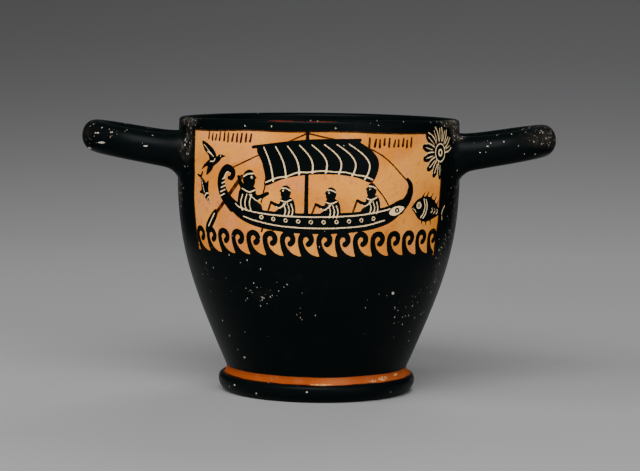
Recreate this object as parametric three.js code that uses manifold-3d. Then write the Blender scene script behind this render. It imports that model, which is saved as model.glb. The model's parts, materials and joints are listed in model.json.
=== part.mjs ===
// A skyphos: a deep drinking cup of fired clay with a thrown bowl, a low disc foot and two
// horizontal loop handles set on just under the rim. It was fired as one piece, so it is one
// closed solid. Millimetres, +Z up, origin at the middle of the ring it stands on. The
// painted side faces -Y and the handles point along +X and -X.

import * as THREE from "three";
import { mergeVertices } from "three/addons/utils/BufferGeometryUtils.js";
import Module from "manifold-3d";

// Foot, from the table up
const STAND_RADIUS = 50.8; // outer edge of the ring that touches the table
const STAND_WIDTH = 9; // width of that flat ring
const FOOT_RADIUS = 55.3; // the foot at its widest
const FOOT_HEIGHT = 9.9; // top of the foot, where the neck starts
const FOOT_EDGE_PULLS = [0.12, 0.5]; // pulls of its lower edge, as shares of the widest line's height
const FOOT_SHOULDER = 3.8; // height of the rounded shoulder above the widest line
const SHOULDER_PULLS = [0.25, 0.3]; // pulls of that shoulder, down and inwards, as shares of its height
const RECESS_HEIGHT = 5.5; // hollow under the foot at its middle
const RECESS_WALL = 3.2; // how far the side of that hollow leans inwards
const NECK_FOOT_RADIUS = 51.5; // short neck between foot and bowl, at its lower edge
const NECK_RADIUS = 50.7; // and at its upper edge
const NECK_HEIGHT = 3.5;

// Bowl
const HEIGHT = 154; // table to the top of the lip
const BELLY_RADIUS = 79.06; // outer radius where the wall stops widening
const BELLY_HEIGHT = 121;
const WALL_FLARE = 17.8; // the wall sets off from the neck this far outwards
const WALL_RISE = 41.4; // for this much height
const BELLY_PULL = 43; // length of the upright pull of the curve under the belly line
const RIM_RADIUS = 78.4; // outer radius just under the lip
const RIM_PULL = 16; // length of the upright pull above the belly line
const RIM_DIP = 0.86; // the rim sinks this much towards the handles
const DIP_REACH = 44; // height over which the wall follows that dip
const LIP_THICKNESS = 4.2;
const BASE_THICKNESS = 6.4; // wall thickness where bowl and neck meet
const FLOOR_THICKNESS = 8.5; // at the middle, above the hollow of the foot
const FLOOR_RADIUS = 28; // the inner floor is nearly level out to here
const FLOOR_CURVE = 15; // pull of the rounding between floor and wall
const FLOOR_FROM = 0.2; // the rounding starts at this share of the lower wall's curve

// Handles
const HANDLE_BELOW_RIM = 20.8; // lip to the middle of a handle's root
const HANDLE_PROJECTION = 53.8; // wall to the outermost point of the loop
const HANDLE_THICKNESS = 14; // across the loop, seen from above
const HANDLE_DEPTH = 17.4; // top to bottom, seen from the side
const HANDLE_SLOPE = 0.174; // rise per millimetre outwards
const ROOT_ANGLE = 16.5; // degrees from the handle axis to the middle of each root
const ROOT_PULL = 34; // how far each leg runs straight out before it bends
const TIP_PULL = 19; // half the straight of the loop's outer end
const ROOT_SWELL_UP = 3.4; // the legs grow towards the wall
const ROOT_SWELL_DOWN = 1.2;
const ROOT_SWELL_SIDE = 1;
const SWELL_LENGTH = 8; // distance over which that growth fades
const FILLET_UP = 2; // rounding between leg and wall, above
const FILLET_DOWN = 9; // below
const FILLET_SIDE = 5; // and beside the leg
const ROOT_DEPTH = 2.2; // how far a leg is sunk into the wall

// Fineness of the faceted form
const TURNED_SIDES = 68;
const RECESS_STEPS = 5;
const FOOT_EDGE_STEPS = 4;
const SHOULDER_STEPS = 5;
const WALL_STEPS = 11;
const RIM_STEPS = 3;
const LIP_STEPS = 6;
const INNER_STEPS = 5;
const FLOOR_STEPS = 7;
const HANDLE_SIDES = 18;
const ROOT_STATIONS = [0.15, 0.6, 1.8, 4, 8]; // rings near the wall, by distance from it
const LOOP_STATIONS = 9; // further rings from there to the outer end
const WELD_DISTANCE = 1e-4;

const CLAY = { color: 0x0b0f0e, roughness: 0.34, metalness: 0 };

const point = (radius, height) => new THREE.Vector2(radius, height);
const neckTop = FOOT_HEIGHT + NECK_HEIGHT;
const lipRadius = LIP_THICKNESS / 2;
const lipBase = HEIGHT - lipRadius;

const lowerWall = new THREE.CubicBezierCurve(
  point(NECK_RADIUS, neckTop),
  point(NECK_RADIUS + WALL_FLARE, neckTop + WALL_RISE),
  point(BELLY_RADIUS, BELLY_HEIGHT - BELLY_PULL),
  point(BELLY_RADIUS, BELLY_HEIGHT),
);
const upperWall = new THREE.QuadraticBezierCurve(
  point(BELLY_RADIUS, BELLY_HEIGHT),
  point(BELLY_RADIUS, BELLY_HEIGHT + RIM_PULL),
  point(RIM_RADIUS, lipBase),
);

function footProfile() {
  const widest = FOOT_HEIGHT - FOOT_SHOULDER;
  const underRecess = new THREE.QuadraticBezierCurve(
    point(0, RECESS_HEIGHT),
    point(STAND_RADIUS - STAND_WIDTH - RECESS_WALL, RECESS_HEIGHT),
    point(STAND_RADIUS - STAND_WIDTH, 0),
  );
  const lowerEdge = new THREE.CubicBezierCurve(
    point(STAND_RADIUS, 0),
    point((STAND_RADIUS + FOOT_RADIUS) / 2, widest * FOOT_EDGE_PULLS[0]),
    point(FOOT_RADIUS, widest * FOOT_EDGE_PULLS[1]),
    point(FOOT_RADIUS, widest),
  );
  const shoulder = new THREE.CubicBezierCurve(
    point(FOOT_RADIUS, widest),
    point(FOOT_RADIUS, FOOT_HEIGHT - FOOT_SHOULDER * SHOULDER_PULLS[0]),
    point(FOOT_RADIUS - FOOT_SHOULDER * SHOULDER_PULLS[1], FOOT_HEIGHT),
    point(NECK_FOOT_RADIUS, FOOT_HEIGHT),
  );
  return [
    ...underRecess.getPoints(RECESS_STEPS),
    ...lowerEdge.getPoints(FOOT_EDGE_STEPS),
    ...shoulder.getPoints(SHOULDER_STEPS).slice(1),
  ];
}

function wallProfile() {
  return [...lowerWall.getPoints(WALL_STEPS), ...upperWall.getPoints(RIM_STEPS).slice(1)];
}

// The half-round of the lip, without its two ends, which belong to the walls.
function lipProfile() {
  const middle = RIM_RADIUS - lipRadius;
  const steps = [];
  for (let step = 1; step < LIP_STEPS; step += 1) {
    const turn = (Math.PI * step) / LIP_STEPS;
    steps.push(point(middle + lipRadius * Math.cos(turn), lipBase + lipRadius * Math.sin(turn)));
  }
  return steps;
}

// The inner face lies one wall thickness inside the outer curve.
function innerWallPoint(curve, along) {
  const outer = curve.getPoint(along);
  const tangent = curve.getTangent(along);
  const rise = (outer.y - neckTop) / (lipBase - neckTop);
  const thickness = THREE.MathUtils.lerp(BASE_THICKNESS, LIP_THICKNESS, rise);
  return point(outer.x - tangent.y * thickness, outer.y + tangent.x * thickness);
}

// From the lip down to the middle of the inner floor.
function innerProfile() {
  const upper = [];
  for (let step = RIM_STEPS; step > 0; step -= 1) {
    upper.push(innerWallPoint(upperWall, step / RIM_STEPS));
  }
  const lower = [];
  for (let step = INNER_STEPS; step >= 0; step -= 1) {
    const along = THREE.MathUtils.lerp(FLOOR_FROM, 1, step / INNER_STEPS);
    lower.push(innerWallPoint(lowerWall, along));
  }
  const last = lower.at(-1);
  const tangent = lowerWall.getTangent(FLOOR_FROM);
  const floorHeight = RECESS_HEIGHT + FLOOR_THICKNESS;
  const floor = new THREE.CubicBezierCurve(
    last,
    point(last.x - tangent.x * FLOOR_CURVE, last.y - tangent.y * FLOOR_CURVE),
    point(FLOOR_RADIUS, floorHeight),
    point(0, floorHeight),
  );
  return [...upper, ...lower, ...floor.getPoints(FLOOR_STEPS).slice(1)];
}

const wall = wallProfile();

function wallRadius(height) {
  const above = Math.max(1, wall.findIndex((step) => step.y >= height));
  const [low, high] = [wall[above - 1], wall[above]];
  return THREE.MathUtils.mapLinear(height, low.y, high.y, low.x, high.x);
}

function bowlGeometry() {
  const profile = [...footProfile(), ...wall, ...lipProfile(), ...innerProfile()];
  const geometry = new THREE.LatheGeometry(profile, TURNED_SIDES);
  geometry.rotateX(Math.PI / 2);
  const position = geometry.getAttribute("position");
  for (let i = 0; i < position.count; i += 1) {
    const [x, y, z] = [position.getX(i), position.getY(i), position.getZ(i)];
    const reach = Math.max(0, (z - HEIGHT + DIP_REACH) / DIP_REACH);
    const aside = (x * x) / Math.max(x * x + y * y, 1);
    position.setZ(i, z - RIM_DIP * reach * reach * aside);
  }
  return geometry;
}

// How much a quarter-round of this radius adds at a distance from the wall.
function fillet(radius, distance) {
  const left = Math.max(0, radius - distance);
  return radius - Math.sqrt(radius * radius - left * left);
}

function handleRing(path, distance, rootAxis, rootRadius) {
  const inPath = Math.max(0, distance);
  const along = inPath / path.getLength();
  const centre = path.getPointAt(along);
  const tangent = path.getTangentAt(along);
  const across = new THREE.Vector3(-tangent.y, tangent.x, 0).normalize();
  const swell = Math.exp(-inPath / SWELL_LENGTH);
  const fromWall = Math.max(ROOT_STATIONS[0], distance);
  const side = HANDLE_THICKNESS / 2 + ROOT_SWELL_SIDE * swell + fillet(FILLET_SIDE, fromWall);
  const up = HANDLE_DEPTH / 2 + ROOT_SWELL_UP * swell + fillet(FILLET_UP, fromWall);
  const down = HANDLE_DEPTH / 2 + ROOT_SWELL_DOWN * swell + fillet(FILLET_DOWN, fromWall);
  const towardsWall = Math.max(0, 1 - inPath / ROOT_PULL) ** 2;
  const rootSide = new THREE.Vector3(-rootAxis.y, rootAxis.x, 0);
  const ring = [];
  for (let i = 0; i < HANDLE_SIDES; i += 1) {
    const turn = (2 * Math.PI * i) / HANDLE_SIDES;
    const rise = Math.sin(turn) * (Math.sin(turn) > 0 ? up : down);
    const corner = centre.clone().addScaledVector(across, Math.cos(turn) * side);
    corner.z += rise;
    // Near the wall each ring bends to the wall's own curve, so the rounding lies on it.
    const offset = corner.dot(rootSide);
    const wallHere = Math.sqrt(wallRadius(corner.z) ** 2 - offset ** 2);
    corner.addScaledVector(rootAxis, towardsWall * (wallHere - rootRadius) + Math.min(0, distance));
    ring.push(corner);
  }
  return ring;
}

// A closed tube through rings of equal count, with a flat cap at each end.
function tubeGeometry(rings) {
  const sides = rings[0].length;
  const capCentres = [rings[0], rings.at(-1)].map((ring) => (
    ring.reduce((sum, corner) => sum.add(corner), new THREE.Vector3()).divideScalar(sides)
  ));
  const corners = [...rings.flat(), ...capCentres];
  const firstCap = rings.length * sides;
  const index = [];
  for (let side = 0; side < sides; side += 1) {
    const next = (side + 1) % sides;
    for (let ring = 0; ring < rings.length - 1; ring += 1) {
      const here = ring * sides;
      const there = here + sides;
      index.push(here + side, here + next, there + side);
      index.push(here + next, there + next, there + side);
    }
    const last = (rings.length - 1) * sides;
    index.push(firstCap, next, side);
    index.push(firstCap + 1, last + side, last + next);
  }
  const geometry = new THREE.BufferGeometry();
  const coordinates = corners.flatMap((corner) => corner.toArray());
  geometry.setAttribute("position", new THREE.Float32BufferAttribute(coordinates, 3));
  geometry.setIndex(index);
  return geometry;
}

function handleGeometry() {
  const rootHeight = HEIGHT - HANDLE_BELOW_RIM;
  const rootRadius = wallRadius(rootHeight);
  const angle = THREE.MathUtils.degToRad(ROOT_ANGLE);
  const rootAxis = new THREE.Vector3(Math.cos(angle), Math.sin(angle), 0);
  const tip = wallRadius(rootHeight) + HANDLE_PROJECTION - HANDLE_THICKNESS / 2;
  const root = rootAxis.clone().multiplyScalar(rootRadius);
  const place = (x, y) => new THREE.Vector3(x, y, rootHeight + (x - root.x) * HANDLE_SLOPE);
  const leg = new THREE.CubicBezierCurve3(
    place(root.x, root.y),
    place(root.x + rootAxis.x * ROOT_PULL, root.y + rootAxis.y * ROOT_PULL),
    place(tip, TIP_PULL),
    place(tip, 0),
  );
  const reach = leg.getLength();
  const lastRoot = ROOT_STATIONS.at(-1);
  const stations = [-ROOT_DEPTH, ...ROOT_STATIONS];
  for (let i = 1; i <= LOOP_STATIONS; i += 1) {
    stations.push(THREE.MathUtils.lerp(lastRoot, reach, i / LOOP_STATIONS));
  }
  const half = stations.map((distance) => handleRing(leg, distance, rootAxis, rootRadius));
  // The other leg is this one mirrored, walked from the outer end back to the wall.
  const mirror = (corner) => new THREE.Vector3(corner.x, -corner.y, corner.z);
  const otherHalf = half.slice(0, -1).reverse().map((ring) => ring.map(mirror));
  return tubeGeometry([...half, ...otherHalf]);
}

const wasm = await Module();
wasm.setup();

function solid(geometry) {
  geometry.deleteAttribute("normal");
  geometry.deleteAttribute("uv");
  const merged = mergeVertices(geometry, WELD_DISTANCE);
  return new wasm.Manifold(new wasm.Mesh({
    numProp: 3,
    vertProperties: new Float32Array(merged.getAttribute("position").array),
    triVerts: new Uint32Array(merged.getIndex().array),
  }));
}

function geometryOf(body) {
  const mesh = body.getMesh();
  const geometry = new THREE.BufferGeometry();
  geometry.setAttribute("position", new THREE.BufferAttribute(new Float32Array(mesh.vertProperties), 3));
  geometry.setIndex(new THREE.BufferAttribute(new Uint32Array(mesh.triVerts), 1));
  geometry.computeVertexNormals();
  return geometry;
}

const rightHandle = handleGeometry();
const leftHandle = rightHandle.clone().rotateZ(Math.PI);
const fired = solid(bowlGeometry()).add(solid(rightHandle)).add(solid(leftHandle));

const cup = new THREE.Mesh(geometryOf(fired), new THREE.MeshStandardMaterial(CLAY));
cup.name = "skyphos";

const vessel = new THREE.Group();
vessel.add(cup);

export default vessel;
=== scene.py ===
# %% [markdown]
# A skyphos is a deep drinking cup that was thrown on a wheel in fine red-firing clay. Its
# disc foot and two loop handles were joined on while the clay was leather-hard. The potter
# left a panel in the colour of the clay on each side and covered the rest with a slip that
# fires to a glossy black. This lesson builds the cup's form as one fine mesh around the
# packed CAD frame, in millimetres until the mesh is made.

# %% Load the frame
import json
import math

import bpy
import numpy as np
from mathutils import Matrix, Vector

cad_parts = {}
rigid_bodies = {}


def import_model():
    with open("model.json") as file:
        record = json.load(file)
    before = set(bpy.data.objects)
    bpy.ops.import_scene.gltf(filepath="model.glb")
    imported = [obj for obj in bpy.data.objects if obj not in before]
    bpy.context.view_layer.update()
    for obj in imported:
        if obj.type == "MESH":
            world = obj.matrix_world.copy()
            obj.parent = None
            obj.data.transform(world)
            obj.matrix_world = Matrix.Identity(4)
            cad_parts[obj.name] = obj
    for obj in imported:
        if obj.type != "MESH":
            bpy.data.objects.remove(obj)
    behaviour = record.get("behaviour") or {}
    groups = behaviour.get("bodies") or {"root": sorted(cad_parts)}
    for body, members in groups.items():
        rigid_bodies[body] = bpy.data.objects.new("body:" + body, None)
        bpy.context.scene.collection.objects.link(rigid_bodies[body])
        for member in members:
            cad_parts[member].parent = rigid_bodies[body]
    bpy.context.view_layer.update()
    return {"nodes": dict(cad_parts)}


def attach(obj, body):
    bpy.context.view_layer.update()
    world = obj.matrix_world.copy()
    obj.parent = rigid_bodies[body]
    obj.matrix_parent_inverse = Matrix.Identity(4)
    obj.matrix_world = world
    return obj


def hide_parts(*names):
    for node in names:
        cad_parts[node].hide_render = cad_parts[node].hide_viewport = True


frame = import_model()
MILLIMETRE = 0.001
print("frame nodes:", sorted(frame["nodes"]))

# %% [markdown]
# The profile is the line that the potter's rib follows. It runs from the middle of the
# underside out to the ring that stands on the table, up over the foot, along the wall, over
# the lip and back down inside. The sizes are those of the CAD part, so the fine wall lies
# on the faceted one. It could be traced from a picture point by point, but a few named
# sizes are easier to check against the part and to change later.

# %% Sizes of the cup
HEIGHT = 154
STAND_RADIUS = 50.8
STAND_WIDTH = 9
FOOT_RADIUS = 55.3
FOOT_HEIGHT = 9.9
FOOT_SHOULDER = 3.8
RECESS_HEIGHT = 5.5
RECESS_WALL = 3.2
NECK_FOOT_RADIUS = 51.5
NECK_RADIUS = 50.7
NECK_TOP = 13.4
BELLY_RADIUS = 79.06
BELLY_HEIGHT = 121
WALL_FLARE = 17.8
WALL_RISE = 41.4
BELLY_PULL = 43
RIM_RADIUS = 78.4
RIM_PULL = 16
RIM_DIP = 0.86
DIP_REACH = 44
LIP_THICKNESS = 4.2
BASE_THICKNESS = 6.4
FLOOR_HEIGHT = 14
FLOOR_RADIUS = 28
FLOOR_CURVE = 15
FLOOR_FROM = 0.2
LIP_BASE = HEIGHT - LIP_THICKNESS / 2
print("cup:", HEIGHT, "mm high,", 2 * RIM_RADIUS, "mm across the mouth")

# %% [markdown]
# A thrown wall has no corners, because the clay slides past the rib in one sweep. Straight
# pieces between many measured points would show as bands in the gloss. A curve that a few
# pull points draw out gives the full belly and the slight turn inwards under the lip. The
# inner face is the same curve moved in by the wall's thickness, which shrinks upwards.

# %% Curves of the profile
EDGE_PULLS = (0.12, 0.5)
SHOULDER_PULLS = (0.25, 0.3)
RECESS_STEPS = 16
EDGE_STEPS = 8
SHOULDER_STEPS = 10
LIP_STEPS = 14
INNER_STEPS = (8, 26, 18)


def bezier(points, steps, start=0.0, end=1.0):
    """Points and unit tangents of a curve with pull points, between two shares of it."""
    share = np.linspace(start, end, steps + 1)[:, None]
    level = [np.tile(np.array(p, float), (len(share), 1)) for p in points]
    while len(level) > 2:
        level = [a + (b - a) * share for a, b in zip(level, level[1:])]
    tangent = level[1] - level[0]
    tangent /= np.linalg.norm(tangent, axis=1)[:, None]
    return level[0] + (level[1] - level[0]) * share, tangent


LOWER_WALL = [
    (NECK_RADIUS, NECK_TOP),
    (NECK_RADIUS + WALL_FLARE, NECK_TOP + WALL_RISE),
    (BELLY_RADIUS, BELLY_HEIGHT - BELLY_PULL),
    (BELLY_RADIUS, BELLY_HEIGHT),
]
UPPER_WALL = [
    (BELLY_RADIUS, BELLY_HEIGHT),
    (BELLY_RADIUS, BELLY_HEIGHT + RIM_PULL),
    (RIM_RADIUS, LIP_BASE),
]


def offset_inwards(curve, steps, start, end):
    """The inner face of a wall, one wall thickness inside its outer curve."""
    outer, tangent = bezier(curve, steps, start, end)
    rise = (outer[:, 1] - NECK_TOP) / (LIP_BASE - NECK_TOP)
    thickness = (BASE_THICKNESS + (LIP_THICKNESS - BASE_THICKNESS) * rise)[:, None]
    return outer + np.stack([-tangent[:, 1], tangent[:, 0]], 1) * thickness, tangent


def foot_rows():
    """The hollow under the foot, its edge and its rounded shoulder."""
    inner_edge = STAND_RADIUS - STAND_WIDTH
    widest = FOOT_HEIGHT - FOOT_SHOULDER
    recess_pull = (inner_edge - RECESS_WALL, RECESS_HEIGHT)
    recess, _ = bezier([(0, RECESS_HEIGHT), recess_pull, (inner_edge, 0)], RECESS_STEPS)
    edge, _ = bezier([
        (STAND_RADIUS, 0),
        ((STAND_RADIUS + FOOT_RADIUS) / 2, widest * EDGE_PULLS[0]),
        (FOOT_RADIUS, widest * EDGE_PULLS[1]),
        (FOOT_RADIUS, widest),
    ], EDGE_STEPS)
    shoulder, _ = bezier([
        (FOOT_RADIUS, widest),
        (FOOT_RADIUS, FOOT_HEIGHT - FOOT_SHOULDER * SHOULDER_PULLS[0]),
        (FOOT_RADIUS - FOOT_SHOULDER * SHOULDER_PULLS[1], FOOT_HEIGHT),
        (NECK_FOOT_RADIUS, FOOT_HEIGHT),
    ], SHOULDER_STEPS)
    return [*recess, *edge, *shoulder[1:]]


def lip_rows():
    """The half round of the lip, from its outer to its inner side."""
    half = LIP_THICKNESS / 2
    turn = np.pi * np.arange(1, LIP_STEPS) / LIP_STEPS
    across = RIM_RADIUS - half + half * np.cos(turn)
    return list(np.stack([across, LIP_BASE + half * np.sin(turn)], 1))


def inside_rows():
    upper, _ = offset_inwards(UPPER_WALL, INNER_STEPS[0], 1, 0)
    lower, tangent = offset_inwards(LOWER_WALL, INNER_STEPS[1], 1, FLOOR_FROM)
    last = lower[-1]
    pull = last - tangent[-1] * FLOOR_CURVE
    pulls = [last, pull, (FLOOR_RADIUS, FLOOR_HEIGHT), (0, FLOOR_HEIGHT)]
    floor, _ = bezier(pulls, INNER_STEPS[2])
    return [*upper, *lower[1:], *floor[1:]]


print("rows:", len(foot_rows()), "on the foot,", len(inside_rows()), "inside")

# %% [markdown]
# The painted belt needs a close net of points, because the painting is stored on them. The
# rest of the pot is plain and needs only enough columns to look round. One even net for the
# whole pot would be either too coarse for the painting or very large. So each row of the
# profile comes with one of two sets of columns.

# %% Rings around the axis
BELT_LOW = 79
BELT_HIGH = 150.5
FRONT_HALF = 68
FRONT_COLUMNS = 340
END_COLUMNS = 24
BACK_COLUMNS = 130
PLAIN_COLUMNS = 120
LOW_ROWS = 30
BELT_ROWS = 131
CLOSE_STEPS = (2400, 800)


def belt_columns():
    """Angles from the front, close together on the front panel and wider apart behind."""
    front = np.linspace(-FRONT_HALF, FRONT_HALF, FRONT_COLUMNS)
    right = np.linspace(FRONT_HALF, 180 - FRONT_HALF, END_COLUMNS)
    back = np.linspace(180 - FRONT_HALF, 180 + FRONT_HALF, BACK_COLUMNS)
    left = np.linspace(180 + FRONT_HALF, 360 - FRONT_HALF, END_COLUMNS)
    return np.radians(np.concatenate([front, right[1:], back[1:], left[1:-1]]))


FINE = belt_columns()
PLAIN = np.radians(np.arange(PLAIN_COLUMNS) * 360 / PLAIN_COLUMNS - FRONT_HALF)


def wall_line(low_steps, high_steps):
    """The outer wall as close points, from the neck to the lip."""
    low, _ = bezier(LOWER_WALL, low_steps)
    high, _ = bezier(UPPER_WALL, high_steps)
    return np.concatenate([low, high[1:]])


def wall_rows():
    """Outer wall rows, each with its set of columns."""
    line = wall_line(*CLOSE_STEPS)
    heights = [
        *np.linspace(NECK_TOP, BELT_LOW, LOW_ROWS)[:-1],
        *np.linspace(BELT_LOW, BELT_HIGH, BELT_ROWS),
        LIP_BASE,
    ]
    radii = np.interp(heights, line[:, 1], line[:, 0])
    columns = [FINE if BELT_LOW <= z <= BELT_HIGH else PLAIN for z in heights]
    return list(zip(zip(radii, heights), columns))


print("columns:", len(FINE), "on the belt and", len(PLAIN), "elsewhere")

# %% [markdown]
# Each row of the profile turns into a ring, and each two rings are joined by a band of faces.
# Where both have the same columns, the band is of four-sided faces. Where the sets differ, a
# zip of triangles takes whichever column comes next. A ring at the axis is a single point.

# %% Turned body
POLE_RADIUS = 0.01


def ring_at(radius, height, columns):
    if radius < POLE_RADIUS:
        return np.array([[0.0, 0.0, height]])
    flat = np.full(len(columns), height)
    return np.stack([radius * np.sin(columns), -radius * np.cos(columns), flat], 1)


def quads(here, there, n):
    """Faces between two rings of n points that start at two places in the list."""
    return [(here + j, here + (j + 1) % n, there + (j + 1) % n, there + j) for j in range(n)]


def zipped(here, columns, there, next_columns):
    """Triangles between two rings whose columns stand at different angles."""
    faces = []
    a = b = 0
    n, m = len(columns), len(next_columns)
    first = columns - columns[0]
    second = next_columns - next_columns[0]
    while a < n or b < m:
        next_a = first[a + 1] if a + 1 < n else 2 * np.pi + (a >= n)
        next_b = second[b + 1] if b + 1 < m else 2 * np.pi + (b >= m)
        if b >= m or (a < n and next_a <= next_b):
            faces.append((here + a % n, here + (a + 1) % n, there + b % m))
            a += 1
        else:
            faces.append((here + a % n, there + (b + 1) % m, there + b % m))
            b += 1
    return faces


def turned_body():
    """Points and faces of the bowl and foot, closed at both poles."""
    rows = [(point, PLAIN) for point in foot_rows()] + wall_rows()
    rows += [(point, PLAIN) for point in [*lip_rows(), *inside_rows()]]
    rings = [ring_at(*point, columns) for point, columns in rows]
    faces = []
    here = 0
    for i, (ring, above) in enumerate(zip(rings, rings[1:])):
        n, m = len(ring), len(above)
        there = here + n
        if n == 1:
            faces += [(here, there + (j + 1) % m, there + j) for j in range(m)]
        elif m == 1:
            faces += [(here + j, here + (j + 1) % n, there) for j in range(n)]
        elif n == m:
            faces += quads(here, there, n)
        else:
            faces += zipped(here, rows[i][1], there, rows[i + 1][1])
        here = there
    return np.concatenate(rings), faces


body_points, body_faces = turned_body()
print("turned body:", len(body_points), "points", len(body_faces), "faces")

# %% [markdown]
# Each handle is a roll of clay bent into a horseshoe. The loop rises a little outwards, so
# two fingers can lift a full cup. Half of its middle line is enough, as the other leg is
# the mirror image. The wall's radius at any height tells where the line starts.

# %% Middle line of a handle
ROOT_HEIGHT = HEIGHT - 20.8
ROOT_ANGLE = math.radians(16.5)
HANDLE_PROJECTION = 53.8
HANDLE_THICKNESS = 14
HANDLE_DEPTH = 17.4
HANDLE_SLOPE = 0.174
ROOT_PULL = 34
TIP_PULL = 19
LEG_STEPS = 400
QUICK_STEPS = (300, 100)


def wall_radius(height):
    line = wall_line(*QUICK_STEPS)
    return np.interp(height, line[:, 1], line[:, 0])


def leg_line():
    """Centre line of one leg, from the wall to the outer end, and its length so far."""
    radius = float(wall_radius(ROOT_HEIGHT))
    axis = np.array([math.cos(ROOT_ANGLE), math.sin(ROOT_ANGLE)])
    root = axis * radius
    tip = radius + HANDLE_PROJECTION - HANDLE_THICKNESS / 2
    pulls = [root, root + axis * ROOT_PULL, (tip, TIP_PULL), (tip, 0)]
    line, tangent = bezier(pulls, LEG_STEPS)
    height = ROOT_HEIGHT + (line[:, 0] - root[0]) * HANDLE_SLOPE
    line = np.column_stack([line, height])
    run = np.concatenate([[0], np.cumsum(np.linalg.norm(np.diff(line, axis=0), axis=1))])
    return line, tangent, run, axis, radius


print("handle: %.1f mm of clay roll on each half" % leg_line()[2][-1])

# %% [markdown]
# The ends of the roll are pressed onto the wall and the joint is smoothed with a wet finger,
# which leaves a small hollow rounding that is larger below. Rings along the line swell near
# the wall and bend to follow it. A plain pipe with a bevel afterwards would meet the round
# wall unevenly, so the rounding is part of each ring's own size.

# %% Handles
SWELL_UP = 3.4
SWELL_DOWN = 1.2
SWELL_SIDE = 1
SWELL_LENGTH = 8
FILLET_UP = 2
FILLET_DOWN = 9
FILLET_SIDE = 5
ROOT_DEPTH = 2.2
NEAREST_RING = 0.12
HANDLE_SIDES = 56
ROOT_STATIONS = (-ROOT_DEPTH, NEAREST_RING, 0.3, 0.6, 1.1, 1.8, 2.8, 4, 5.6, 7.5, 9.5)
LEG_STATIONS = 27


def fillet(radius, distance):
    left = max(0.0, radius - distance)
    return radius - math.sqrt(radius * radius - left * left)


def handle_ring(leg, distance):
    line, tangent, run, axis, radius = leg
    inside = max(0.0, distance)
    centre = np.array([np.interp(inside, run, line[:, k]) for k in range(3)])
    way = np.array([np.interp(inside, run, tangent[:, k]) for k in range(2)])
    way /= np.linalg.norm(way)
    swell = math.exp(-inside / SWELL_LENGTH)
    off = max(NEAREST_RING, distance)
    side = HANDLE_THICKNESS / 2 + SWELL_SIDE * swell + fillet(FILLET_SIDE, off)
    up = HANDLE_DEPTH / 2 + SWELL_UP * swell + fillet(FILLET_UP, off)
    down = HANDLE_DEPTH / 2 + SWELL_DOWN * swell + fillet(FILLET_DOWN, off)
    turn = 2 * np.pi * np.arange(HANDLE_SIDES) / HANDLE_SIDES
    rise = np.sin(turn) * np.where(np.sin(turn) > 0, up, down)
    ring = np.column_stack([
        centre[0] - way[1] * np.cos(turn) * side,
        centre[1] + way[0] * np.cos(turn) * side,
        centre[2] + rise,
    ])
    offset = ring[:, 1] * axis[0] - ring[:, 0] * axis[1]
    share = max(0.0, 1 - inside / ROOT_PULL) ** 2
    bend = share * (np.sqrt(wall_radius(ring[:, 2]) ** 2 - offset**2) - radius)
    ring[:, :2] += axis * (bend + min(0.0, distance))[:, None]
    return ring


def handle_body(sign):
    """Points and faces of one closed horseshoe, on the +X side or mirrored to the other."""
    leg = leg_line()
    along = np.linspace(ROOT_STATIONS[-1], leg[2][-1], LEG_STATIONS)[1:]
    half = [handle_ring(leg, distance) for distance in (*ROOT_STATIONS, *along)]
    rings = half + [ring * [1, -1, 1] for ring in half[-2::-1]]
    n = HANDLE_SIDES
    points = np.concatenate([*rings, [rings[0].mean(0)], [rings[-1].mean(0)]])
    points[:, :2] *= sign
    faces = [quad for i in range(len(rings) - 1) for quad in quads(i * n, (i + 1) * n, n)]
    first, last = len(rings) * n, len(rings) * n + 1
    end = (len(rings) - 1) * n
    for j in range(n):
        k = (j + 1) % n
        faces.append((first, k, j))
        faces.append((last, end + j, end + k))
    return points, faces


print("handle:", len(handle_body(1)[0]), "points")

# %% [markdown]
# A Boolean union makes one closed skin of bowl and handles, as the joined clay is one body.
# Handles that only poke into the wall would leave a sharp crease and hidden faces inside.
# The rim was pulled down a little by the weight of the handles before firing, so the upper
# wall sinks towards them. That is done to the finished skin.

# %% Join bowl and handles
OFF_WALL = 1


def mesh_object(name, points, faces):
    mesh = bpy.data.meshes.new(name)
    mesh.from_pydata([tuple(p) for p in points], [], faces)
    mesh.validate()
    thing = bpy.data.objects.new(name, mesh)
    bpy.context.scene.collection.objects.link(thing)
    return thing


cup = mesh_object("cup", body_points, body_faces)
handles = [mesh_object("handle", *handle_body(sign)) for sign in (1, -1)]
for handle in handles:
    union = cup.modifiers.new("join", "BOOLEAN")
    union.operation = "UNION"
    union.solver = "MANIFOLD"
    union.object = handle
graph = bpy.context.evaluated_depsgraph_get()
joined = bpy.data.meshes.new_from_object(cup.evaluated_get(graph))
cup.modifiers.clear()
cup.data = joined
for handle in handles:
    bpy.data.objects.remove(handle)
place = np.empty(len(joined.vertices) * 3, np.float32)
joined.vertices.foreach_get("co", place)
place = place.reshape(-1, 3).astype(float)
reach = np.clip((place[:, 2] - HEIGHT + DIP_REACH) / DIP_REACH, 0, None)
aside = place[:, 0] ** 2 / np.maximum(place[:, 0] ** 2 + place[:, 1] ** 2, 1)
from_axis = np.hypot(place[:, 0], place[:, 1])
place[:, 2] -= np.where(from_axis > BELLY_RADIUS + OFF_WALL, 0, RIM_DIP * reach**2 * aside)
joined.vertices.foreach_set("co", (place * MILLIMETRE).astype(np.float32).ravel())
joined.update()
joined.shade_smooth()
triangles = sum(len(face.vertices) - 2 for face in joined.polygons)
print("cup:", len(joined.vertices), "points", triangles, "triangles")

# %% [markdown]
# A brush moves in one sweep, so an outline is drawn as a smooth line through a few points.
# How far a point of the wall lies from that line is what decides its colour, so the second
# helper measures the distance to one short piece of a line, which may taper.

# %% Lines and distances


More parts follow.
